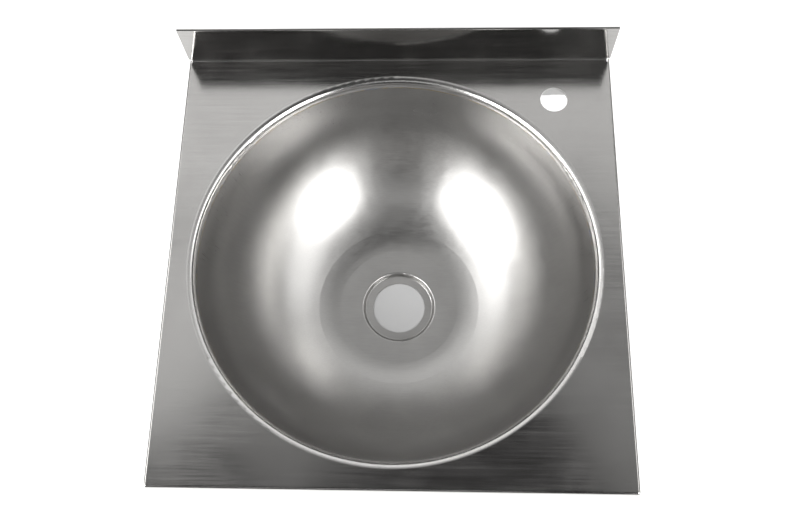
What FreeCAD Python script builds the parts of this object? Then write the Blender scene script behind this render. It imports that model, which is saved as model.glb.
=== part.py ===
"""Stainless steel hand wash sink: a square folded deck with an upstand, a round bowl and a concealed wall fixing.

The frame has +Z up, +Y into the wall and its origin midway between the two wall fixing holes, on the wall plane.
Sizes are millimetres. The deck's top lies deck_level above the origin.
"""

import FreeCAD, Part
import math
import os
import re

import Sketcher

from FreeCAD import Vector

SIZES = {
    # deck, aprons and upstand: one folded sheet
    "sheet": 1.2,
    "deck_width": 400,
    "deck_depth": 400,
    "deck_level": 27,
    "upstand_height": 50,
    "hem_height": 12,
    "apron_height": 50,
    "return_width": 12,
    "bend_inside": 1.2,
    "relief_width": 3,
    "relief_depth": 4.8,
    "mitre_gap": 0.6,
    # round bowl and the pressed lip that it hangs from
    "rim_margin": 17.5,
    "rim_angle": 80.57,
    "lip_radius": 6.5,
    "seam_below_lip": 2.5,
    "seam_gap": 1,
    "weld_reach": 1.6,
    "weld_crown_radius": 3,
    "weld_clearance": 0.15,
    # the bowl below it: a straight wall, a wide rounded dish and a floor with the sunk seat of the waste
    "side_height": 26.85,
    "floor_radius": 60,
    "floor_angle": 19.3,
    "floor_blend": 72,
    "floor_slope": 2,
    "waste_radius": 26.5,
    "seat_ledge": 11.1,
    "seat_depth": 4.5,
    "seat_wall_angle": 70,
    # tap hole and its stiffening plate
    "tap_radius": 12.5,
    "tap_from_side": 54,
    "tap_from_upstand": 43,
    "tap_plate_ring": 14.5,
    "tap_plate_thickness": 2,
    # rail welded under the deck, which hooks over the wall bracket
    "rail_gauge": 1.5,
    "rail_bend_inside": 1,
    "rail_front": 16.5,
    "rail_above_edge": 7.5,
    "rail_foot_back": 3,
    "rail_end_gap": 1.4,
    "hook_back": 4,
    "rail_weld_height": 30,
    "rail_weld_start": 0.5,
    "rail_weld_leg": 3,
    # bracket screwed to the wall
    "bracket_gauge": 2,
    "bracket_bend_inside": 1,
    "bracket_end": 30,
    "bracket_above_edge": 4,
    "shelf_below_deck": 12,
    "tongue_below_deck": 5,
    "tongue_front": 9.5,
    "foot_reach": 14,
    "fixing_spacing": 240,
    "fixing_radius": 3.5,
    "fixing_slot_length": 14,
    # screws that lock the rail down on the bracket
    "lock_spacing": 200,
    "lock_from_wall": 9,
    "lock_hole_radius": 2.8,
    "nut_body_radius": 3.5,
    "nut_bore_radius": 2.6,
    "nut_collar_radius": 4.7,
    "nut_collar_thickness": 1,
    "nut_bulge_radius": 4.4,
    "nut_bulge_height": 1.6,
    "nut_height": 9.5,
    "nut_fit": 0.05,
    "washer_radius": 5,
    "washer_thickness": 1,
    "screw_radius": 2.5,
    "screw_length": 13,
    "screw_head_radius": 4.6,
    "screw_head_height": 2.8,
    "screw_head_round": 1.4,
    "hex_flat_radius": 1.5,
    "hex_depth": 1.7,
    # damping pads stuck on the outside of the bowl
    "pad_gap": 0.3,
    "pad_thickness": 2.5,
    "pad_low_angle": 32,
    "pad_high_angle": 56,
    "pad_turn": 44,
}

DERIVED = {
    "overall_depth": "deck_depth + 2 * sheet",
    "bend_outside": "bend_inside + sheet",
    "bowl_from_wall": "2 * sheet + deck_depth / 2",
    "under_deck": "deck_level - sheet",
    "apron_bottom": "deck_level - apron_height",
    "fold_start": "2 * sheet + bend_inside",
    # the lip's arc ends where it is as steep as the bowl's wall, and the wall goes on straight from there
    "opening_radius": "min(deck_width, deck_depth) / 2 - rim_margin",
    "lip_level": "deck_level - lip_radius",
    "rim_sine": "sin(rim_angle)",
    "rim_cosine": "cos(rim_angle)",
    "lip_end_radius": "opening_radius - lip_radius * rim_sine",
    "lip_end_level": "lip_level + lip_radius * rim_cosine",
    "across_wall": "sheet / rim_sine",
    "seam_level": "lip_level - seam_below_lip",
    "seam_top": "seam_level + seam_gap / 2",
    "seam_bottom": "seam_level - seam_gap / 2",
    "weld_crown_depth": "sqrt(weld_crown_radius ^ 2 - (seam_gap / 2 + weld_reach) ^ 2)",
    # the floor is a shallow cone with a rounded corner, and the dish is the one arc that joins corner and wall
    "floor_sine": "sin(floor_slope)",
    "floor_cosine": "cos(floor_slope)",
    "dish_top_radius": "lip_end_radius - side_height / tan(rim_angle)",
    "dish_foot_radius": "floor_radius + floor_blend * (sin(floor_angle) - floor_sine)",
    "dish_radius": "(dish_top_radius - dish_foot_radius) / (rim_sine - sin(floor_angle))",
    "dish_outside": "dish_radius + sheet",
    "dish_level": "lip_end_level - side_height + dish_radius * rim_cosine",
    "dish_from_axis": "dish_top_radius - dish_radius * rim_sine",
    "blend_distance": "dish_radius - floor_blend",
    "blend_radial": "dish_from_axis + blend_distance * sin(floor_angle)",
    "blend_level": "dish_level - blend_distance * cos(floor_angle)",
    "seat_radius": "waste_radius + seat_ledge",
    "floor_level": "blend_level - floor_blend / floor_cosine - (blend_radial - seat_radius) * tan(floor_slope)",
    # the seat's wall is a straight cone between two bends of the same inside radius
    "wall_sine": "sin(seat_wall_angle)",
    "wall_cosine": "cos(seat_wall_angle)",
    "brow_radial": "seat_radius + bend_outside * floor_sine",
    "brow_level": "floor_level - bend_outside * floor_cosine",
    "seat_wall": "(seat_depth - bend_outside * (floor_cosine - wall_cosine)"
    " - bend_inside * (1 - wall_cosine)) / wall_sine",
    "heel_radial": "brow_radial - (bend_outside + bend_inside) * wall_sine - seat_wall * wall_cosine",
    "heel_level": "brow_level + (bend_outside + bend_inside) * wall_cosine - seat_wall * wall_sine",
    "seat_level": "heel_level - bend_inside",
    # tap hole, rail and bracket
    "tap_across": "deck_width / 2 - tap_from_side",
    "tap_plate_radius": "tap_radius + tap_plate_ring",
    "tap_from_wall": "2 * sheet + tap_from_upstand",
    "rail_length": "deck_width - 2 * (sheet + rail_end_gap)",
    "rail_below": "-apron_bottom - rail_above_edge",
    "rail_web_back": "rail_front - rail_gauge",
    "rail_foot_top": "rail_gauge - rail_below",
    "nut_level": "-rail_below",
    "bracket_length": "fixing_spacing + 2 * bracket_end",
    "bracket_below": "-apron_bottom - bracket_above_edge",
    "shelf_level": "deck_level - shelf_below_deck",
    "tongue_top": "deck_level - tongue_below_deck",
    "foot_top": "bracket_gauge - bracket_below",
    "slot_half": "fixing_slot_length / 2 - fixing_radius",
    "washer_level": "-bracket_below - washer_thickness",
}

document = FreeCAD.newDocument("hand_wash_sink")
sizes = document.addObject("Spreadsheet::Sheet", "sizes")
derived = document.addObject("App::VarSet", "derived")
OWNERS = {name: "sizes." for name in SIZES} | {name: "derived." for name in DERIVED}


def formula(text):
    """The text with each size's name written as a reference that an expression can read."""
    return re.sub(r"[a-z_]\w+", lambda word: OWNERS.get(word[0], "") + word[0], text)


def value(text):
    """The number that the text stands for with the sizes as they are."""
    return float(sizes.evalExpression(formula(text)))


def fill_sizes():
    for row, (name, number) in enumerate(SIZES.items(), start=1):
        sizes.set(f"A{row}", name)
        sizes.set(f"B{row}", str(number))
        sizes.setAlias(f"B{row}", name)
    document.recompute()
    for name, text in DERIVED.items():
        derived.addProperty("App::PropertyFloat", name)
        derived.setExpression(name, formula(text))
        document.recompute()


# ---------------------------------------------------------------- sketches


def new_body(label):
    body = document.addObject("PartDesign::Body", label)
    body.Label = label
    return body


def place(item, x="0", y="0", z="0"):
    for axis, text in (("x", x), ("y", y), ("z", z)):
        item.setExpression(f"Placement.Base.{axis}", formula(text))


def new_sketch(body, name, plane, offset=("0", "0", "0")):
    """A sketch on one of the body's origin planes, moved by the offset in the sketch's own axes."""
    sketch = body.newObject("Sketcher::SketchObject", name)
    origin_plane = next(item for item in body.Origin.OriginFeatures if item.Role == plane)
    sketch.AttachmentSupport = [(origin_plane, "")]
    sketch.MapMode = "FlatFace"
    for axis, text in zip("xyz", offset):
        sketch.setExpression(f"AttachmentOffset.Base.{axis}", formula(text))
    document.recompute()
    return sketch


def pin_coordinate(sketch, edge, end, axis, text):
    """Holds one coordinate of an edge's end at the text's value."""
    if text == "0":
        other_axis = -2 if axis == "X" else -1
        sketch.addConstraint(Sketcher.Constraint("PointOnObject", edge, end, other_axis))
        return
    number = sketch.addConstraint(Sketcher.Constraint("Distance" + axis, -1, 1, edge, end, value(text)))
    sketch.setExpression(f"Constraints[{number}]", formula(text))


def draw_arc(sketch, start, finish, turn, centre_x, centre_y):
    """An arc held by its ends and by the place of its centre along the line midway between them."""
    centre = Vector(value(centre_x), value(centre_y), 0)
    circle = Part.Circle(centre, Vector(0, 0, 1), (start - centre).Length)
    first, last = (start, finish) if turn > 0 else (finish, start)
    angles = [math.atan2(point.y - centre.y, point.x - centre.x) for point in (first, last)]
    edge = sketch.addGeometry(Part.ArcOfCircle(circle, *angles))
    if abs(finish.x - start.x) > abs(finish.y - start.y):
        pin_coordinate(sketch, edge, 3, "Y", centre_y)
    else:
        pin_coordinate(sketch, edge, 3, "X", centre_x)
    return (edge, 1, 2) if turn > 0 else (edge, 2, 1)


def draw_outline(sketch, corners, arcs=None):
    """A closed outline of straight edges, apart from those that arcs lists by the corner they leave.

    Each arc is (turn, centre_x, centre_y), where turn is 1 if it runs counter-clockwise and -1 if clockwise.
    """
    arcs = arcs or {}
    points = [Vector(value(x), value(y), 0) for x, y in corners]
    ends = []
    for number, start in enumerate(points):
        finish = points[(number + 1) % len(points)]
        if number in arcs:
            ends.append(draw_arc(sketch, start, finish, *arcs[number]))
        else:
            ends.append((sketch.addGeometry(Part.LineSegment(start, finish)), 1, 2))
    for (edge, first_end, _), (before, _, last_end) in zip(ends, ends[-1:] + ends[:-1]):
        sketch.addConstraint(Sketcher.Constraint("Coincident", before, last_end, edge, first_end))
    for (edge, first_end, _), (x, y) in zip(ends, corners):
        pin_coordinate(sketch, edge, first_end, "X", x)
        pin_coordinate(sketch, edge, first_end, "Y", y)
    document.recompute()


def draw_box(sketch, left, right, low, high):
    draw_outline(sketch, [(left, low), (right, low), (right, high), (left, high)])


def draw_circle(sketch, x, y, radius):
    circle = Part.Circle(Vector(value(x), value(y), 0), Vector(0, 0, 1), value(radius))
    edge = sketch.addGeometry(circle)
    constraint = sketch.addConstraint(Sketcher.Constraint("Radius", edge, value(radius)))
    sketch.setExpression(f"Constraints[{constraint}]", formula(radius))
    pin_coordinate(sketch, edge, 3, "X", x)
    pin_coordinate(sketch, edge, 3, "Y", y)
    document.recompute()


# ---------------------------------------------------------------- features


def pad(body, name, sketch, length, reverse=False, symmetric=False):
    feature = body.newObject("PartDesign::Pad", name)
    feature.Profile = sketch
    feature.setExpression("Length", formula(length))
    feature.Reversed = reverse
    feature.SideType = "Symmetric" if symmetric else "One side"
    document.recompute()
    return feature


def cut_feature(body, kind, name, sketch, **settings):
    """A pocket or groove; one that takes nothing away is a mistake."""
    before = body.Shape.Volume
    feature = body.newObject("PartDesign::" + kind, name)
    feature.Profile = sketch
    for setting, text in settings.items():
        if isinstance(text, bool):
            setattr(feature, setting, text)
        else:
            feature.setExpression(setting, formula(text))
    document.recompute()
    if body.Shape.Volume >= before - 0.01:
        raise ValueError(f"{body.Label}: {name} takes nothing away")
    return feature


def pocket(body, name, sketch, length, reverse=False):
    return cut_feature(body, "Pocket", name, sketch, Length=length, Reversed=reverse)


def revolve(body, name, sketch, angle="360", symmetric=False):
    """A revolution about the sketch's own upright axis."""
    feature = body.newObject("PartDesign::Revolution", name)
    feature.Profile = sketch
    feature.ReferenceAxis = (sketch, ["V_Axis"])
    feature.setExpression("Angle", formula(angle))
    feature.Midplane = symmetric
    document.recompute()
    return feature


def fillet(body, name, radius, chosen):
    """Rounds the edges of the body's last feature for which chosen(middle, direction) is true."""
    tip = body.Tip
    names = []
    for number, edge in enumerate(tip.Shape.Edges, start=1):
        if edge.Degenerated:
            continue
        halfway = (edge.FirstParameter + edge.LastParameter) / 2
        if chosen(edge.valueAt(halfway), edge.tangentAt(halfway)):
            names.append(f"Edge{number}")
    feature = body.newObject("PartDesign::Fillet", name)
    feature.Base = (tip, names)
    feature.setExpression("Radius", formula(radius))
    document.recompute()
    return feature


def along(direction, axis):
    return abs(abs(getattr(direction, axis)) - 1) < 1e-6


def near(number, text):
    return abs(number - value(text)) < 0.05


def bent_strip(label, length, gauge, inside_radius, outline, outer_bends, inner_bends):
    """A folded strip along X; its outline is in (y, z), and the bends are corners of that outline."""
    body = new_body(label)
    sketch = new_sketch(body, label + "_section", "YZ_Plane")
    draw_outline(sketch, outline)
    pad(body, label + "_strip", sketch, length, symmetric=True)

    def on(bends):
        return lambda middle, direction: along(direction, "x") and any(
            near(middle.y, y) and near(middle.z, z) for y, z in bends
        )

    fillet(body, label + "_inside_bends", inside_radius, on(inner_bends))
    fillet(body, label + "_outside_bends", f"{inside_radius} + {gauge}", on(outer_bends))
    return body


def group(label, members):
    """Separate solids of one kind, kept together as one sub-part."""
    compound = document.addObject("Part::Compound", label)
    compound.Label = label
    compound.Links = members
    document.recompute()
    return compound


# ---------------------------------------------------------------- deck panel


def wall_inside(level):
    """The radius of the bowl's straight wall at a level, on the side of the water."""
    return f"(lip_end_radius - (lip_end_level - {level}) / tan(rim_angle))"


def wall_outside(level):
    return f"({wall_inside(level)} + across_wall)"


def make_deck_panel():
    """One folded sheet: deck, front and side aprons with returns, upstand with hem, bowl lip and tap hole."""
    body = new_body("deck_panel")
    half = "deck_width / 2"

    blank = new_sketch(body, "blank", "XY_Plane", ("0", "0", "deck_level"))
    draw_box(blank, f"-{half}", half, "-overall_depth", "0")
    pad(body, "block", blank, "apron_height", reverse=True)

    def folded_outside(middle, direction):
        side = near(abs(middle.x), half) and along(direction, "y")
        front = near(middle.y, "-overall_depth")
        return side or front

    fillet(body, "outside_bends", "bend_outside", folded_outside)

    hollow = new_sketch(body, "hollow", "XZ_Plane")
    draw_box(hollow, f"sheet - {half}", f"{half} - sheet", "apron_bottom + sheet", "under_deck")
    pocket(body, "inside", hollow, "overall_depth - sheet", reverse=True)

    def folded_inside(middle, direction):
        side = near(abs(middle.x), f"{half} - sheet") and along(direction, "y")
        front = near(middle.y, "sheet - overall_depth")
        return side or front

    fillet(body, "inside_bends", "bend_inside", folded_inside)

    underneath = new_sketch(body, "underneath", "XY_Plane", ("0", "0", "apron_bottom"))
    inner = f"{half} - return_width"
    draw_box(underneath, f"return_width - {half}", inner, "return_width - overall_depth", "relief_depth")
    pocket(body, "between_returns", underneath, "sheet", reverse=True)

    corners = new_sketch(body, "corners", "XY_Plane", ("0", "0", "apron_bottom"))
    edge = f"{half} - bend_outside"
    for side in ("", "-"):
        draw_outline(
            corners,
            [
                (f"{side}({edge})", "bend_outside - overall_depth"),
                (f"{side}({inner} - sheet)", "return_width + sheet - overall_depth"),
                (f"{side}({inner} - sheet - mitre_gap)", "return_width + sheet - overall_depth"),
                (f"{side}({edge} - mitre_gap)", "bend_outside - overall_depth"),
                (f"{side}({edge} - mitre_gap)", "-overall_depth - sheet"),
                (f"{side}({half} + sheet)", "-overall_depth - sheet"),
                (f"{side}({half} + sheet)", "bend_outside - overall_depth"),
            ],
        )
    pocket(body, "open_corners", corners, "bend_outside", reverse=True)

    columns = new_sketch(body, "columns", "XY_Plane", ("0", "0", "apron_bottom"))
    for side in ("", "-"):
        draw_outline(
            columns,
            [
                (f"{side}({edge})", "-overall_depth - sheet"),
                (f"{side}({half} + sheet)", "-overall_depth - sheet"),
                (f"{side}({half} + sheet)", "bend_outside - overall_depth"),
                (f"{side}({edge})", "bend_outside - overall_depth"),
            ],
        )
    pocket(body, "corner_seams", columns, "apron_height - bend_outside", reverse=True)

    fold_room = new_sketch(body, "fold_room", "XY_Plane", ("0", "0", "deck_level"))
    draw_box(fold_room, f"-{half}", half, "-fold_start", "sheet")
    pocket(body, "fold_clearance", fold_room, "bend_outside")

    upstand = new_sketch(body, "upstand", "YZ_Plane")
    draw_outline(
        upstand,
        [
            ("-fold_start", "under_deck"),
            ("-sheet", "deck_level + bend_inside"),
            ("-sheet", "deck_level + upstand_height - hem_height"),
            ("0", "deck_level + upstand_height - hem_height"),
            ("0", "deck_level + upstand_height - sheet"),
            ("-2 * sheet", "deck_level + upstand_height - sheet"),
            ("-2 * sheet", "deck_level + bend_inside"),
            ("-fold_start", "deck_level"),
        ],
        {
            0: (1, "-fold_start", "deck_level + bend_inside"),
            4: (1, "-sheet", "deck_level + upstand_height - sheet"),
            6: (-1, "-fold_start", "deck_level + bend_inside"),
        },
    )
    pad(body, "upstand_sheet", upstand, "deck_width", symmetric=True)

    reliefs = new_sketch(body, "reliefs", "XY_Plane", ("0", "0", "deck_level - bend_outside"))
    for side in ("", "-"):
        draw_outline(
            reliefs,
            [
                (f"{side}({half} - relief_width)", "-relief_depth"),
                (f"{side}({half} + sheet)", "-relief_depth"),
                (f"{side}({half} + sheet)", "sheet"),
                (f"{side}({half} - relief_width)", "sheet"),
            ],
        )
    pocket(body, "corner_reliefs", reliefs, "2 * bend_outside", reverse=True)

    centre = ("0", "-bowl_from_wall", "deck_level")
    opening = new_sketch(body, "opening", "XY_Plane", centre)
    draw_circle(opening, "0", "0", "opening_radius")
    pocket(body, "bowl_opening", opening, "2 * sheet")

    lip = new_sketch(body, "lip", "XZ_Plane", ("0", "0", "bowl_from_wall"))
    draw_outline(
        lip,
        [
            ("opening_radius", "deck_level"),
            ("lip_end_radius", "lip_end_level"),
            (wall_inside("seam_top"), "seam_top"),
            (wall_outside("seam_top"), "seam_top"),
            ("lip_end_radius + sheet * rim_sine", "lip_end_level - sheet * rim_cosine"),
            ("opening_radius", "under_deck"),
        ],
        {0: (1, "opening_radius", "lip_level"), 4: (-1, "opening_radius", "lip_level")},
    )
    revolve(body, "pressed_lip", lip)

    tap = new_sketch(body, "tap", "XY_Plane", ("0", "0", "deck_level"))
    draw_circle(tap, "tap_across", "-tap_from_wall", "tap_radius")
    pocket(body, "tap_hole", tap, "2 * sheet")
    return body


def make_corner_weld(label, side):
    """The front corner's weld, dressed to a quarter round, with its root standing proud inside."""
    body = new_body(label)
    bead = new_sketch(body, label + "_bead", "XY_Plane", ("0", "0", "apron_bottom + bend_outside"))
    edge = "(deck_width / 2 - bend_outside)"
    draw_outline(
        bead,
        [
            (f"{side}({edge} + bend_outside)", "bend_outside - overall_depth"),
            (f"{side}{edge}", "-overall_depth"),
            (f"{side}{edge}", "bend_outside - overall_depth"),
        ],
        {0: (-1 if side == "" else 1, f"{side}{edge}", "bend_outside - overall_depth")},
    )
    pad(body, label + "_run", bead, "apron_height - 2 * bend_outside")
    return body


# ---------------------------------------------------------------- bowl


def make_bowl():
    """A spun bowl: a straight wall, a dish, a shallow conical floor and a sunk seat round the waste hole."""
    body = new_body("bowl")
    place(body, y="-bowl_from_wall")
    section = new_sketch(body, "bowl_section", "XZ_Plane")

    def sheet_side(wall, dish, blend, brow, heel, seat):
        """One face of the sheet from the seam down to the waste hole."""
        return [
            (wall("seam_bottom"), "seam_bottom"),
            (f"dish_from_axis + {dish} * rim_sine", f"dish_level - {dish} * rim_cosine"),
            (f"dish_from_axis + {dish} * sin(floor_angle)", f"dish_level - {dish} * cos(floor_angle)"),
            (f"blend_radial + {blend} * floor_sine", f"blend_level - {blend} * floor_cosine"),
            (f"brow_radial - {brow} * floor_sine", f"brow_level + {brow} * floor_cosine"),
            (f"brow_radial - {brow} * wall_sine", f"brow_level + {brow} * wall_cosine"),
            (f"heel_radial + {heel} * wall_sine", f"heel_level - {heel} * wall_cosine"),
            ("heel_radial", f"heel_level - {heel}"),
            ("waste_radius", seat),
        ]

    inside = sheet_side(wall_inside, "dish_radius", "floor_blend", "bend_outside", "bend_inside", "seat_level")
    outside = sheet_side(
        wall_outside, "dish_outside", "(floor_blend + sheet)", "bend_inside", "bend_outside", "(seat_level - sheet)"
    )
    draw_outline(
        section,
        inside + outside[::-1],
        {
            1: (-1, "dish_from_axis", "dish_level"),
            2: (-1, "blend_radial", "blend_level"),
            4: (1, "brow_radial", "brow_level"),
            6: (-1, "heel_radial", "heel_level"),
            10: (1, "heel_radial", "heel_level"),
            12: (-1, "brow_radial", "brow_level"),
            14: (1, "blend_radial", "blend_level"),
            15: (1, "dish_from_axis", "dish_level"),
        },
    )
    revolve(body, "bowl_shell", section)
    return body


def make_bowl_weld():
    """The weld that fills the gap between lip and bowl: flush inside, with a low crown outside."""
    body = new_body("bowl_weld")
    place(body, y="-bowl_from_wall")
    section = new_sketch(body, "weld_section", "XZ_Plane")
    crown_top = "(seam_top + weld_reach)"
    crown_bottom = "(seam_bottom - weld_reach)"

    def outside(level):
        return f"{wall_outside(level)} + weld_clearance"

    draw_outline(
        section,
        [
            (wall_inside("seam_bottom"), "seam_bottom"),
            (outside("seam_bottom"), "seam_bottom"),
            (outside(crown_bottom), crown_bottom),
            (outside(crown_top), crown_top),
            (outside("seam_top"), "seam_top"),
            (wall_inside("seam_top"), "seam_top"),
        ],
        {2: (1, f"{outside('seam_level')} - weld_crown_depth", "seam_level")},
    )
    revolve(body, "weld_run", section)
    return body


def make_sound_pads():
    """Two damping pads, one each side of the waste, each bounded by two levels and two upright planes."""
    pads = []
    low, high = "(90 - pad_low_angle)", "(90 - pad_high_angle)"
    inner = "(dish_outside + pad_gap)"
    outer = f"({inner} + pad_thickness)"
    for name, turn in (("right_pad", 0), ("left_pad", 180)):
        body = document.addObject("PartDesign::Body", name)
        body.Placement.Rotation = FreeCAD.Rotation(Vector(0, 0, 1), turn)
        place(body, y="-bowl_from_wall", z="dish_level")
        section = new_sketch(body, name + "_section", "XZ_Plane")
        draw_outline(
            section,
            [
                (f"dish_from_axis + {inner} * cos{high}", f"-{inner} * sin{high}"),
                (f"dish_from_axis + {inner} * cos{low}", f"-{inner} * sin{low}"),
                (f"dish_from_axis + {outer} * cos{low}", f"-{outer} * sin{low}"),
                (f"dish_from_axis + {outer} * cos{high}", f"-{outer} * sin{high}"),
            ],
            {0: (-1, "dish_from_axis", "0"), 2: (1, "dish_from_axis", "0")},
        )
        revolve(body, name + "_sheet", section, "pad_turn", symmetric=True)
        pads.append(body)
    return group("sound_pads", pads)


# ---------------------------------------------------------------- fixing


def make_tap_plate():
    """A round plate spot-welded under the deck, so that the tap doesn't rock in thin sheet."""
    body = new_body("tap_plate")
    place(body, "tap_across", "-tap_from_wall", "under_deck")
    disc = new_sketch(body, "tap_plate_outline", "XY_Plane")
    draw_circle(disc, "0", "0", "tap_plate_radius")
    draw_circle(disc, "0", "0", "tap_radius")
    pad(body, "tap_plate_disc", disc, "tap_plate_thickness", reverse=True)
    return body


def punch(body, name, sketch_offset, depth, spacing, from_wall, radius):
    """A pair of round holes through a level sheet, evenly either side of the middle."""
    holes = new_sketch(body, name, "XY_Plane", ("0", "0", sketch_offset))
    for side in ("", "-"):
        draw_circle(holes, f"{side}{spacing} / 2", f"-{from_wall}", radius)
    pocket(body, name + "_cut", holes, depth)


def make_rear_rail():
    """The channel under the back of the deck, open to the wall, with a hook along its top flange."""
    body = bent_strip(
        "rear_rail",
        "rail_length",
        "rail_gauge",
        "rail_bend_inside",
        [
            ("-hook_back", "shelf_level"),
            ("-hook_back", "under_deck"),
            ("-rail_front", "under_deck"),
            ("-rail_front", "-rail_below"),
            ("-rail_foot_back", "-rail_below"),
            ("-rail_foot_back", "rail_foot_top"),
            ("-rail_web_back", "rail_foot_top"),
            ("-rail_web_back", "under_deck - rail_gauge"),
            ("-hook_back - rail_gauge", "under_deck - rail_gauge"),
            ("-hook_back - rail_gauge", "shelf_level"),
        ],
        [("-hook_back", "under_deck"), ("-rail_front", "under_deck"), ("-rail_front", "-rail_below")],
        [
            ("-rail_web_back", "rail_foot_top"),
            ("-rail_web_back", "under_deck - rail_gauge"),
            ("-hook_back - rail_gauge", "under_deck - rail_gauge"),
        ],
    )
    punch(
        body,
        "nut_holes",
        "rail_foot_top",
        "rail_gauge",
        "lock_spacing",
        "lock_from_wall",
        "nut_body_radius + nut_fit",
    )
    return body


def make_rail_welds():
    """Upright fillet welds that join the rail's ends to the side aprons."""
    beads = []
    end = "rail_length / 2"
    for name, side in (("right_bead", ""), ("left_bead", "-")):
        body = document.addObject("PartDesign::Body", name)
        place(body, z="rail_weld_start - rail_below")
        section = new_sketch(body, name + "_section", "XY_Plane")
        draw_outline(
            section,
            [
                (f"{side}({end})", "-rail_web_back"),
                (f"{side}({end} + rail_end_gap)", "-rail_web_back"),
                (f"{side}({end} + rail_end_gap)", "-rail_front - rail_weld_leg"),
                (f"{side}({end} - rail_weld_leg)", "-rail_front"),
                (f"{side}({end})", "-rail_front"),
            ],
        )
        pad(body, name + "_run", section, "rail_weld_height")
        beads.append(body)
    return group("rail_welds", beads)


def make_wall_bracket():
    """The folded strip on the wall: a shelf and tongue that hold the rail's hook, and a foot for the screws."""
    body = bent_strip(
        "wall_bracket",
        "bracket_length",
        "bracket_gauge",
        "bracket_bend_inside",
        [
            ("0", "-bracket_below"),
            ("0", "shelf_level"),
            ("bracket_gauge - tongue_front", "shelf_level"),
            ("bracket_gauge - tongue_front", "tongue_top"),
            ("-tongue_front", "tongue_top"),
            ("-tongue_front", "shelf_level - bracket_gauge"),
            ("-bracket_gauge", "shelf_level - bracket_gauge"),
            ("-bracket_gauge", "foot_top"),
            ("-foot_reach", "foot_top"),
            ("-foot_reach", "-bracket_below"),
        ],
        [("0", "-bracket_below"), ("0", "shelf_level"), ("-tongue_front", "shelf_level - bracket_gauge")],
        [
            ("bracket_gauge - tongue_front", "shelf_level"),
            ("-bracket_gauge", "shelf_level - bracket_gauge"),
            ("-bracket_gauge", "foot_top"),
        ],
    )
    slots = new_sketch(body, "wall_slots", "XZ_Plane")
    for side in ("", "-"):
        left = f"{side}fixing_spacing / 2 - slot_half"
        right = f"{side}fixing_spacing / 2 + slot_half"
        draw_outline(
            slots,
            [
                (left, "-fixing_radius"),
                (right, "-fixing_radius"),
                (right, "fixing_radius"),
                (left, "fixing_radius"),
            ],
            {1: (1, right, "0"), 3: (1, left, "0")},
        )
    pocket(body, "wall_slots_cut", slots, "bracket_gauge", reverse=True)
    punch(
        body,
        "lock_holes",
        "foot_top",
        "bracket_gauge",
        "lock_spacing",
        "lock_from_wall",
        "lock_hole_radius",
    )
    return body


def turned_pair(label, level, outline, arcs=None):
    """Two turned pieces on the locking screws' axes; the outline is in (radius, height)."""
    members = []
    for name, side in (("right_" + label, ""), ("left_" + label, "-")):
        body = document.addObject("PartDesign::Body", name)
        place(body, f"{side}lock_spacing / 2", "-lock_from_wall", level)
        section = new_sketch(body, name + "_section", "XZ_Plane")
        draw_outline(section, outline, arcs)
        revolve(body, name + "_turned", section)
        members.append(body)
    return members


def make_rivet_nuts():
    """Threaded inserts closed into the rail's foot: a collar below and a bulge above the sheet."""
    members = turned_pair(
        "rivet_nut",
        "nut_level",
        [
            ("nut_bore_radius", "-nut_collar_thickness"),
            ("nut_collar_radius", "-nut_collar_thickness"),
            ("nut_collar_radius", "0"),
            ("nut_body_radius", "0"),
            ("nut_body_radius", "rail_gauge"),
            ("nut_bulge_radius", "rail_gauge"),
            ("nut_bulge_radius", "rail_gauge + nut_bulge_height"),
            ("nut_body_radius", "rail_gauge + 2 * nut_bulge_height"),
            ("nut_body_radius", "nut_height"),
            ("nut_bore_radius", "nut_height"),
        ],
    )
    return group("rivet_nuts", members)


def make_locking_washers():
    members = turned_pair(
        "washer",
        "washer_level",
        [
            ("lock_hole_radius", "0"),
            ("washer_radius", "0"),
            ("washer_radius", "washer_thickness"),
            ("lock_hole_radius", "washer_thickness"),
        ],
    )
    return group("locking_washers", members)


def make_locking_screws():
    """Button-head screws with a hexagon socket, driven upwards from below the deck."""
    members = turned_pair(
        "screw",
        "washer_level",
        [
            ("0", "-screw_head_height"),
            ("screw_head_radius - screw_head_round", "-screw_head_height"),
            ("screw_head_radius", "screw_head_round - screw_head_height"),
            ("screw_head_radius", "0"),
            ("screw_radius", "0"),
            ("screw_radius", "screw_length"),
            ("0", "screw_length"),
        ],
        {1: (1, "screw_head_radius - screw_head_round", "screw_head_round - screw_head_height")},
    )
    for body in members:
        socket = new_sketch(body, body.Name + "_socket", "XY_Plane", ("0", "0", "-screw_head_height"))
        corners = [
            (f"hex_flat_radius / cos(30) * cos({angle})", f"hex_flat_radius / cos(30) * sin({angle})")
            for angle in range(30, 390, 60)
        ]
        draw_outline(socket, corners)
        pocket(body, body.Name + "_socket_cut", socket, "hex_depth", reverse=True)
    return group("locking_screws", members)


# ---------------------------------------------------------------- whole part


def check_document():
    for item in document.Objects:
        if {"Invalid", "Error"} & set(item.State):
            raise ValueError(f"{item.Name}: {item.State}")


def write(sub_part):
    shape = sub_part.Shape
    if shape.isNull() or not shape.isValid():
        raise ValueError(f"{sub_part.Label}: its shape isn't valid")
    shape.exportStep(f"parts/{sub_part.Label}.step")
    box = shape.BoundBox
    print(
        f"{sub_part.Label:20s} solids {len(shape.Solids)}  volume {shape.Volume:10.0f}"
        f"  x {box.XMin:7.1f} {box.XMax:7.1f}  y {box.YMin:7.1f} {box.YMax:7.1f}"
        f"  z {box.ZMin:7.1f} {box.ZMax:7.1f}"
    )


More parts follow.
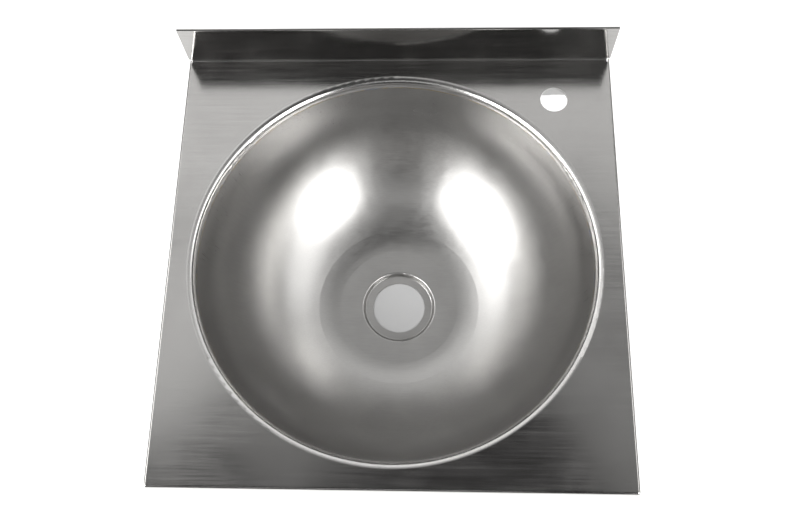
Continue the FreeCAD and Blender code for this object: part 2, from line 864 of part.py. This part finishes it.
def main():
    fill_sizes()
    sub_parts = [
        make_deck_panel(),
        make_corner_weld("corner_weld_left", "-"),
        make_corner_weld("corner_weld_right", ""),
        make_bowl(),
        make_bowl_weld(),
        make_sound_pads(),
        make_tap_plate(),
        make_rear_rail(),
        make_rail_welds(),
        make_wall_bracket(),
        make_rivet_nuts(),
        make_locking_washers(),
        make_locking_screws(),
    ]
    document.recompute()
    check_document()
    os.makedirs("parts", exist_ok=True)
    for sub_part in sub_parts:
        write(sub_part)


main()
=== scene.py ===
# %% [markdown]
# # A stainless steel hand wash sink
#
# The real object is a square of thin sheet, folded at its edges and pressed round an opening, with a
# spun bowl welded under the opening. All of its shapes come from a solid model that is already packed,
# so this lesson is about finish: how brushed, polished, welded and ground steel differ, and how light
# from a photographic studio makes each of them readable.

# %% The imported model
import math

import bpy
from mathutils import Matrix, Vector


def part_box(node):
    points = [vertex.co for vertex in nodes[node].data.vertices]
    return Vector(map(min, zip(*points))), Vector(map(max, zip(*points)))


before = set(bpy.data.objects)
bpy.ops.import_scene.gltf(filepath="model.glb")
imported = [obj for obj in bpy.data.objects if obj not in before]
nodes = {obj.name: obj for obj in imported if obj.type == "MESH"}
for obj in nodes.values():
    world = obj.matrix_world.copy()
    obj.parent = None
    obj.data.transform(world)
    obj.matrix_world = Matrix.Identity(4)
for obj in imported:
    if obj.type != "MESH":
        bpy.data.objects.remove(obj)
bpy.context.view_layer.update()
print("nodes:", ", ".join(sorted(nodes)))

# %% [markdown]
# ## Where things are
#
# The origin lies on the wall, midway between the two fixing holes. The bowl turns about an upright line
# in front of it, and several finishes change with the distance from that line, so it is measured here
# from the weld that runs round the bowl, and not typed in a second time. The deck's sheet lies on the
# tap plate, which gives its level.

# %% The bowl's own line and the deck's level
SHEET = 0.0012
weld_low, weld_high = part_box("bowl_weld")
bowl_axis = (weld_low + weld_high) / 2
plate_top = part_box("tap_plate")[1].z
deck_top = plate_top + SHEET
bowl_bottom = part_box("bowl")[0].z
print("bowl axis at", round(bowl_axis.x, 4), round(bowl_axis.y, 4), "deck top at", round(deck_top, 4))

# %% [markdown]
# ## The camera
#
# The sink was photographed from above and a little in front, from less than a metre away. The place and
# the angles were worked out from the corners of the deck and the round edges of the bowl and holes.

# %% The camera
CAMERA_PLACE = (0.032594, -0.480557, 0.771467)
HEADING, TILT, ROLL = (math.radians(degrees) for degrees in (6.811604, 20.310362, -6.104371))
camera_data = bpy.data.cameras.new("studio_camera")
camera_data.sensor_width = 36
camera_data.lens = 41.5513
camera_data.clip_start = 0.01
camera = bpy.data.objects.new("studio_camera", camera_data)
bpy.context.scene.collection.objects.link(camera)
turn = Matrix.Rotation(HEADING, 4, "Z") @ Matrix.Rotation(TILT, 4, "X") @ Matrix.Rotation(ROLL, 4, "Z")
camera.matrix_world = Matrix.Translation(CAMERA_PLACE) @ turn
bpy.context.scene.camera = camera
print("camera stands", round((camera.location - bowl_axis).length, 3), "m from the bowl's rim")

# %% [markdown]
# ## A few words for building materials
#
# Each finish below is a small tree of nodes: a pattern is read at a point of the piece, its strength is
# mapped to a range, and that drives roughness, colour or bump. These helpers keep the trees short.


# %% A new material, and a node in its tree
def new_finish(name, colour, roughness, metallic=1.0, anisotropy=0.0):
    """A material with one main shader; what is the same all over is set on the shader itself."""
    material = bpy.data.materials.new(name)
    material.use_nodes = True
    shader = material.node_tree.nodes["Principled BSDF"]
    shader.inputs["Base Color"].default_value = (*colour, 1)
    shader.inputs["Metallic"].default_value = metallic
    shader.inputs["Roughness"].default_value = roughness
    shader.inputs["Anisotropic"].default_value = anisotropy
    return material, material.node_tree, shader


def add(tree, kind, socket=0, **settings):
    """A node with its settings and inputs filled in; returns one of its outputs."""
    node = tree.nodes.new("ShaderNode" + kind)
    inputs = settings.pop("inputs", {})
    for key, setting in settings.items():
        setattr(node, key, setting)
    for key, given in inputs.items():
        if isinstance(given, bpy.types.NodeSocket):
            tree.links.new(given, node.inputs[key])
        else:
            node.inputs[key].default_value = given
    return node.outputs[socket]


print("materials can be made")

# %% [markdown]
# A noise could be anything between 0 and 1, but nearly all of it lies in the middle, so that is the part
# that is stretched to a range of roughness or colour. The sockets of a Mix node share their names, so
# they are given by number.

# %% Numbers and colours from patterns
MOST = (0.3, 0.7)
MIDDLE = (0.35, 0.65)


def calculate(tree, operation, first, second=0.0):
    return add(tree, "Math", operation=operation, inputs={0: first, 1: second})


def weigh(tree, first, share, second):
    """The sum of two patterns, the first by its share and the second by what is left."""
    first = calculate(tree, "MULTIPLY", first, share)
    second = calculate(tree, "MULTIPLY", second, 1 - share)
    return calculate(tree, "ADD", first, second)


def span(tree, pattern, low, high, to_low=0.0, to_high=1.0):
    """The pattern's values from low to high, stretched smoothly to another range."""
    limits = {"From Min": low, "From Max": high, "To Min": to_low, "To Max": to_high}
    return add(tree, "MapRange", interpolation_type="SMOOTHSTEP", inputs={"Value": pattern, **limits})


def between(tree, share, first, second):
    """A number between two others."""
    return add(tree, "Mix", 0, data_type="FLOAT", inputs={0: share, 2: first, 3: second})


def blend(tree, share, first, second):
    """A colour between two others; the first may come from another node."""
    if not isinstance(first, bpy.types.NodeSocket):
        first = (*first, 1)
    return add(tree, "Mix", 2, data_type="RGBA", inputs={0: share, 6: first, 7: (*second, 1)})


print("patterns can be mixed between", MOST, "or", MIDDLE)


# %% Places on the piece, and noise there
def own_place(tree):
    """The point of the piece that is being coloured."""
    return add(tree, "TexCoord", "Object")


def stretched(tree, factors):
    """The same point with each direction drawn out or pressed together, which does that to a pattern."""
    return add(tree, "VectorMath", operation="MULTIPLY", inputs={0: own_place(tree), 1: factors})


def height_of(tree):
    return add(tree, "SeparateXYZ", "Z", inputs={0: own_place(tree)})


def noise(tree, place, scale, detail=2.0, roughness=0.5, distortion=0.0):
    kind = {"Detail": detail, "Roughness": roughness, "Distortion": distortion}
    return add(tree, "TexNoise", inputs={"Vector": place, "Scale": scale, **kind})


print("patterns can be placed")

# %% [markdown]
# ## Brushed steel
#
# A sheet is brushed by belts that all run one way, so its surface is a field of hair-fine scratches.
# Across the scratches light spreads widely and along them hardly at all: that is anisotropy, and its
# direction has to be told to the shader. The scratches themselves are noise drawn out a hundredfold
# along the grain. Where the sheet is folded down at the sides, its grain turns down with it. The
# direction across the grain has a little lift, so that it also holds on the upright faces that look
# straight to the front.


# %% Grain along the sheet
def across_grain(tree):
    """A direction over the sheet at right angles to a grain along X."""
    return add(tree, "CombineXYZ", inputs={0: 0.0, 1: 1.0, 2: 0.05})


def grain_place(tree, length, width):
    """Places in lengths and widths of a scratch, also where the sheet is folded down at a side."""
    facing = add(tree, "SeparateXYZ", "X", inputs={0: add(tree, "NewGeometry", "Normal")})
    at_side = span(tree, calculate(tree, "ABSOLUTE", facing), 0.6, 0.8)
    on_top = (1 / length, 1 / width, 1 / width)
    on_side = (1 / length, 1 / width, 1 / length)
    factors = add(tree, "Mix", 1, data_type="VECTOR", inputs={0: at_side, 4: on_top, 5: on_side})
    return stretched(tree, factors)


def hair_lines(tree, length, width):
    """Fine scratches along the grain, between 0 and 1: many thin ones and fewer broad ones."""
    fine = noise(tree, grain_place(tree, length, width), 1.0, detail=3, roughness=0.7)
    broad = noise(tree, grain_place(tree, 2 * length, 4 * width), 1.0, detail=1)
    return weigh(tree, fine, 0.65, broad)


def clouds(tree, size):
    """Slow changes over the sheet, as handling and cleaning leave them."""
    return noise(tree, own_place(tree), 1 / size, detail=3, roughness=0.55, distortion=0.4)


def relief(tree, shader, height, strength, distance):
    """Lets a pattern stand up from the surface by a distance."""
    bump = add(tree, "Bump", inputs={"Height": height, "Strength": strength, "Distance": distance})
    tree.links.new(bump, shader.inputs["Normal"])


def from_axis(tree):
    """The distance of a point from the bowl's upright line."""
    ends = {0: stretched(tree, (1, 1, 0)), 1: (bowl_axis.x, bowl_axis.y, 0)}
    return add(tree, "VectorMath", "Value", operation="DISTANCE", inputs=ends)


print("grain helpers ready")

# %% [markdown]
# ## The folded deck
#
# One sheet has three finishes. Its flats keep the mill's brushed grain. The lip round the bowl was
# dressed with a polishing wheel after welding, and its colour is painted lighter than the sheet's, a
# painted highlight that shows as a bright ring. The upstand was rubbed smoother than the flats. Distance
# from the bowl's line and height tell them apart, so one material covers the sheet with no seam between
# its finishes.

# %% The finish of the deck
STEEL = (0.385, 0.379, 0.370)
# The lip's lighter colour below is a painted highlight for its bright ring.
LIP_PAINTED_HIGHLIGHT_STEEL = (0.560, 0.552, 0.540)
LIP_INSIDE, LIP_OUTSIDE = (0.170, 0.175), (0.1815, 0.1835)
material, tree, shader = new_finish("brushed_deck_sheet", STEEL, 0.19, anisotropy=0.45)
tree.links.new(across_grain(tree), shader.inputs["Tangent"])
lines = hair_lines(tree, 0.045, 0.0006)
marks = clouds(tree, 0.05)
past_inside = span(tree, from_axis(tree), *LIP_INSIDE)
before_outside = span(tree, from_axis(tree), *LIP_OUTSIDE, 1, 0)
lip = calculate(tree, "MULTIPLY", past_inside, before_outside)
upstand = span(tree, height_of(tree), deck_top + 0.002, deck_top + 0.004)
print("the lip shows between", LIP_INSIDE[1], "and", LIP_OUTSIDE[0], "m from the bowl's line")

# %% How smooth the deck, the upstand and the lip are
brushed = calculate(
    tree, "ADD", span(tree, lines, *MOST, 0.15, 0.24), span(tree, marks, *MIDDLE, -0.015, 0.015)
)
rubbed = calculate(
    tree, "ADD", span(tree, lines, *MOST, 0.09, 0.13), span(tree, marks, 0.45, 0.7, -0.01, 0.05)
)
polished = span(tree, marks, *MIDDLE, 0.20, 0.25)
rough = between(tree, lip, between(tree, upstand, brushed, rubbed), polished)
tree.links.new(rough, shader.inputs["Roughness"])
tint = span(tree, weigh(tree, lines, 0.6, marks), *MIDDLE)
sheet_colour = blend(tree, tint, (0.358, 0.352, 0.343), (0.412, 0.406, 0.396))
# Painted highlight: the lip is coloured lighter than the sheet so that it shows as a bright ring.
tree.links.new(blend(tree, lip, sheet_colour, LIP_PAINTED_HIGHLIGHT_STEEL), shader.inputs["Base Color"])
relief(tree, shader, lines, 0.14, 0.00003)
deck_finish = material
print(material.name, len(tree.nodes), "nodes")

# %% [markdown]
# ## The spun bowl
#
# A bowl is spun from a disc and then dressed inside with an abrasive pad. What is left is a satin with
# very fine lines, softer than the deck's grain, and faint clouds where the pad turned. It mirrors the
# lamps as broad glows with soft edges. The wall near the rim was easier to reach, so it's a little
# smoother than the floor.

# %% The finish of the bowl
material, tree, shader = new_finish("satin_bowl_sheet", STEEL, 0.34, anisotropy=0.35)
tree.links.new(across_grain(tree), shader.inputs["Tangent"])
lines = noise(tree, grain_place(tree, 0.02, 0.0007), 1.0, detail=3, roughness=0.65)
marks = clouds(tree, 0.035)
satin = calculate(
    tree, "ADD", span(tree, lines, *MOST, 0.305, 0.375), span(tree, marks, *MIDDLE, -0.012, 0.012)
)
towards_rim = span(tree, height_of(tree), -0.060, -0.010, 1.0, 0.92)
tree.links.new(calculate(tree, "MULTIPLY", satin, towards_rim), shader.inputs["Roughness"])
tint = span(tree, weigh(tree, lines, 0.6, marks), *MIDDLE)
bowl_colour = blend(tree, tint, (0.366, 0.360, 0.352), (0.404, 0.398, 0.389))
tree.links.new(bowl_colour, shader.inputs["Base Color"])
relief(tree, shader, lines, 0.12, 0.00002)
bowl_finish = material
print(material.name, len(tree.nodes), "nodes")

# %% [markdown]
# ## Welds
#
# A weld is a row of small overlapping puddles, so its face has ripples. The front corners were ground
# flush and carry coarser, shorter scratches than the sheet. The run round the bowl and the two at the
# rail's ends are left as welded, with straw and blue tints where the heat stood.

# %% The ground corner welds
material, tree, shader = new_finish("ground_corner_weld", STEEL, 0.28, anisotropy=0.4)
tree.links.new(across_grain(tree), shader.inputs["Tangent"])
lines = hair_lines(tree, 0.012, 0.0008)
tree.links.new(span(tree, lines, *MOST, 0.22, 0.36), shader.inputs["Roughness"])
ground_colour = blend(tree, span(tree, lines, *MIDDLE), (0.365, 0.359, 0.350), (0.415, 0.408, 0.398))
tree.links.new(ground_colour, shader.inputs["Base Color"])
relief(tree, shader, lines, 0.2, 0.00006)
ground_finish = material
print(material.name, len(tree.nodes), "nodes")

# %% The run welds, with ripples and heat tints
CLEAN, STRAW, BLUE = (0.42, 0.41, 0.39), (0.40, 0.33, 0.20), (0.24, 0.27, 0.36)
material, tree, shader = new_finish("run_weld", CLEAN, 0.32)
puddles = add(tree, "TexVoronoi", inputs={"Vector": stretched(tree, (1, 1, 0.3)), "Scale": 420.0})
heat = noise(tree, own_place(tree), 55, detail=2)
tree.links.new(span(tree, puddles, 0.1, 0.7, 0.24, 0.42), shader.inputs["Roughness"])
warm = blend(tree, span(tree, heat, 0.40, 0.56), CLEAN, STRAW)
tree.links.new(blend(tree, span(tree, heat, 0.56, 0.70), warm, BLUE), shader.inputs["Base Color"])
relief(tree, shader, puddles, 0.5, 0.0002)
run_finish = material
print(material.name, len(tree.nodes), "nodes")

# %% [markdown]
# ## What nobody sees from above
#
# The rail, the wall bracket and the plate under the tap hole are plain mill sheet: duller, without
# grain, with faint rolling clouds. The pads on the bowl's outside are heavy black sheet that deadens
# the sound of the water, with a pebbled face. The screws, washers and inserts are bright and turned.

# %% Plain mill plate
material, tree, shader = new_finish("plain_mill_plate", (0.43, 0.43, 0.42), 0.36)
marks = clouds(tree, 0.018)
specks = noise(tree, own_place(tree), 1400, detail=2)
rough = calculate(
    tree, "ADD", span(tree, marks, *MOST, 0.30, 0.42), span(tree, specks, *MOST, -0.03, 0.03)
)
tree.links.new(rough, shader.inputs["Roughness"])
plate_colour = blend(tree, span(tree, marks, *MOST), (0.40, 0.40, 0.395), (0.46, 0.457, 0.448))
tree.links.new(plate_colour, shader.inputs["Base Color"])
relief(tree, shader, specks, 0.15, 0.00003)
plate_finish = material
print(material.name, len(tree.nodes), "nodes")

# %% Black damping sheet
material, tree, shader = new_finish("black_damping_sheet", (0.035, 0.035, 0.036), 0.75, metallic=0.0)
pebble = {"Vector": own_place(tree), "Scale": 520.0, "Smoothness": 0.6}
pebbles = add(tree, "TexVoronoi", feature="SMOOTH_F1", inputs=pebble)
dust = noise(tree, own_place(tree), 40, detail=4)
tree.links.new(span(tree, dust, 0.35, 0.7, 0.62, 0.88), shader.inputs["Roughness"])
pad_colour = blend(tree, span(tree, dust, 0.45, 0.75), (0.028, 0.028, 0.029), (0.07, 0.068, 0.065))
tree.links.new(pad_colour, shader.inputs["Base Color"])
relief(tree, shader, pebbles, 0.6, 0.0003)
pad_finish = material
print(material.name, len(tree.nodes), "nodes")

# %% Bright turned fasteners
WORN = (0.4, 0.7)
material, tree, shader = new_finish("bright_turned_steel", (0.56, 0.55, 0.54), 0.22)
rings = noise(tree, stretched(tree, (300, 300, 6000)), 1.0, detail=2)
wear = clouds(tree, 0.003)
rough = calculate(tree, "ADD", span(tree, rings, *MOST, 0.16, 0.26), span(tree, wear, *WORN, 0, 0.08))
tree.links.new(rough, shader.inputs["Roughness"])
turned_colour = blend(tree, span(tree, wear, *WORN), (0.57, 0.56, 0.545), (0.47, 0.46, 0.45))
tree.links.new(turned_colour, shader.inputs["Base Color"])
relief(tree, shader, rings, 0.2, 0.00003)
fastener_finish = material
print(material.name, len(tree.nodes), "nodes")

# %% [markdown]
# ## Every node gets its finish
#
# The solid model's shapes are right, so they stay, and only the material in each slot of a node changes.

# %% Assigning the finishes
FINISHES = {
    "deck_panel": deck_finish,
    "corner_weld_left": ground_finish,
    "corner_weld_right": ground_finish,
    "bowl": bowl_finish,
    "bowl_weld": run_finish,
    "sound_pads": pad_finish,
    "tap_plate": plate_finish,
    "rear_rail": plate_finish,
    "rail_welds": run_finish,
    "wall_bracket": plate_finish,
    "rivet_nuts": fastener_finish,
    "locking_washers": fastener_finish,
    "locking_screws": fastener_finish,
}
for name, finish in FINISHES.items():
    for material_slot in nodes[name].material_slots:
        material_slot.material = finish
print(len(FINISHES), "nodes finished of", len(nodes))

# %% [markdown]
# ## The floor
#
# The sink stands on the rim of its waste hole, on pale paper that is so far overexposed that it's pure
# white in the picture. The paper takes shadow as any floor does, and what the camera and the steel see
# of it is raised to white with a glow that lights nothing. Inside the waste hole the glow is left out, a
# painted shade for the bowl's own shade on the paper there. From below the paper is clear, so the
# underside can be seen.

# %% The floor
FLOOR_RADIUS = 6.0
CLEARANCE = 0.0002
floor_level = bowl_bottom - CLEARANCE
bpy.ops.object.select_all(action="DESELECT")
bpy.ops.mesh.primitive_circle_add(
    vertices=96, radius=FLOOR_RADIUS, fill_type="NGON", location=(bowl_axis.x, bowl_axis.y, floor_level)
)
floor = bpy.context.object
floor.name = "paper_floor"
print("floor at", round(floor_level, 4))

# %% Its paper
material, tree, shader = new_finish("white_paper", (0.45, 0.45, 0.45), 0.9, metallic=0.0)
fibres = noise(tree, own_place(tree), 900, detail=2)
tree.links.new(blend(tree, fibres, (0.44, 0.44, 0.44), (0.46, 0.46, 0.46)), shader.inputs["Base Color"])
print(material.name, len(tree.nodes), "nodes")

# %% The paper's white, and its clear underside
PAPER_GLOW = 0.75
HOLE_SHADE = (0.028, 0.034)
rays = tree.nodes.new("ShaderNodeLightPath").outputs
mirrored = calculate(tree, "MAXIMUM", rays["Is Glossy Ray"], rays["Is Transmission Ray"])
seen = calculate(tree, "MAXIMUM", rays["Is Camera Ray"], mirrored)
from_middle = add(tree, "VectorMath", "Value", operation="LENGTH", inputs={0: own_place(tree)})
# Painted shade: the glow is left out inside the waste hole, where the bowl shades the paper.
outside_hole = span(tree, from_middle, *HOLE_SHADE)
strength = calculate(tree, "MULTIPLY", calculate(tree, "MULTIPLY", seen, outside_hole), PAPER_GLOW)
glow = add(tree, "Emission", inputs={"Color": (1, 1, 1, 1), "Strength": strength})
both = add(tree, "AddShader", inputs={0: shader.outputs[0], 1: glow})
from_below = add(tree, "NewGeometry", "Backfacing")
one_sided = add(tree, "MixShader", inputs={0: from_below, 1: both, 2: add(tree, "BsdfTransparent")})
tree.links.new(one_sided, tree.nodes["Material Output"].inputs["Surface"])
floor.data.materials.append(material)
print("glow of", PAPER_GLOW, "outside", HOLE_SHADE[0], "m from the hole's middle")

# %% [markdown]
# ## Studio light
#
# Steel has hardly a colour of its own: it shows the room. Two large soft boxes stand at the sides and a
# little in front, and each gives one white glow in the far half of the bowl. Weaker ones fill in around
# them: at the sides for the bowl's flanks, behind and above for the deck, one in front for the zone
# between the two glows. The room right above and behind the camera stays dark, which makes the dark
# strip along the upstand and the dark crescents in the bowl.


# %% Soft boxes
LAMP_DISTANCE = 1.6


def soft_box(name, around, up, width, height, brightness):
    """A rectangular lamp that faces the bowl; its direction is in degrees, from the wall and upwards."""
    across, lift = math.radians(around), math.radians(up)
    level = math.cos(lift)
    direction = Vector((math.sin(across) * level, math.cos(across) * level, math.sin(lift)))
    lamp_data = bpy.data.lights.new(name, "AREA")
    lamp_data.shape = "RECTANGLE"
    lamp_data.size, lamp_data.size_y = width, height
    lamp_data.energy = brightness * math.pi * width * height
    lamp = bpy.data.objects.new(name, lamp_data)
    bpy.context.scene.collection.objects.link(lamp)
    lamp.location = Vector((bowl_axis.x, bowl_axis.y, 0)) + direction * LAMP_DISTANCE
    lamp.rotation_euler = (-direction).to_track_quat("-Z", "Y").to_euler()
    lamp.visible_camera = False
    print(name, "at", [round(c, 2) for c in lamp.location], "face", width, "x", height)


print("soft boxes ready")

# %% The lamps: direction round and up, width, height and brightness of the face
LAMPS = [
    ("left_front", 239.5, 29.5, 0.88, 0.89, 20.5),
    ("left_side", 277.5, 43.0, 0.88, 0.74, 3.2),
    ("front", 186.0, 45.0, 0.74, 0.22, 1.4),
    ("right_front", 134.5, 29.5, 0.57, 0.89, 19.5),
    ("right_low", 114.5, 24.5, 0.44, 0.54, 2.6),
    ("right_side", 83.0, 43.0, 0.99, 0.74, 2.6),
    ("back_left", 320.0, 36.0, 1.49, 0.56, 1.4),
    ("back_right", 23.0, 36.0, 1.68, 0.56, 1.3),
    ("back_upper", 330.0, 53.0, 1.11, 0.39, 1.2),
    ("back_upper_right", 22.5, 53.0, 0.8, 0.39, 1.1),
    ("back_low", 4.0, 4.0, 3.31, 0.28, 1.5),
    ("overhead_left", 312.5, 66.0, 0.83, 0.34, 1.1),
    ("overhead_back", 7.5, 66.5, 0.53, 0.36, 0.6),
    ("overhead_right", 60.0, 67.0, 0.72, 0.51, 0.4),
    ("zenith", 315.0, 79.0, 0.61, 0.28, 0.35),
]
for name, *numbers in LAMPS:
    soft_box(name, *numbers)

# %% The room's own faint light
ROOM = (0.05, 0.05, 0.05, 1)
world = bpy.data.worlds.new("dim_studio")
world.use_nodes = True
world.node_tree.nodes["Background"].inputs["Color"].default_value = ROOM
bpy.context.scene.world = world
bpy.context.scene.view_settings.view_transform = "Standard"
print("world set")
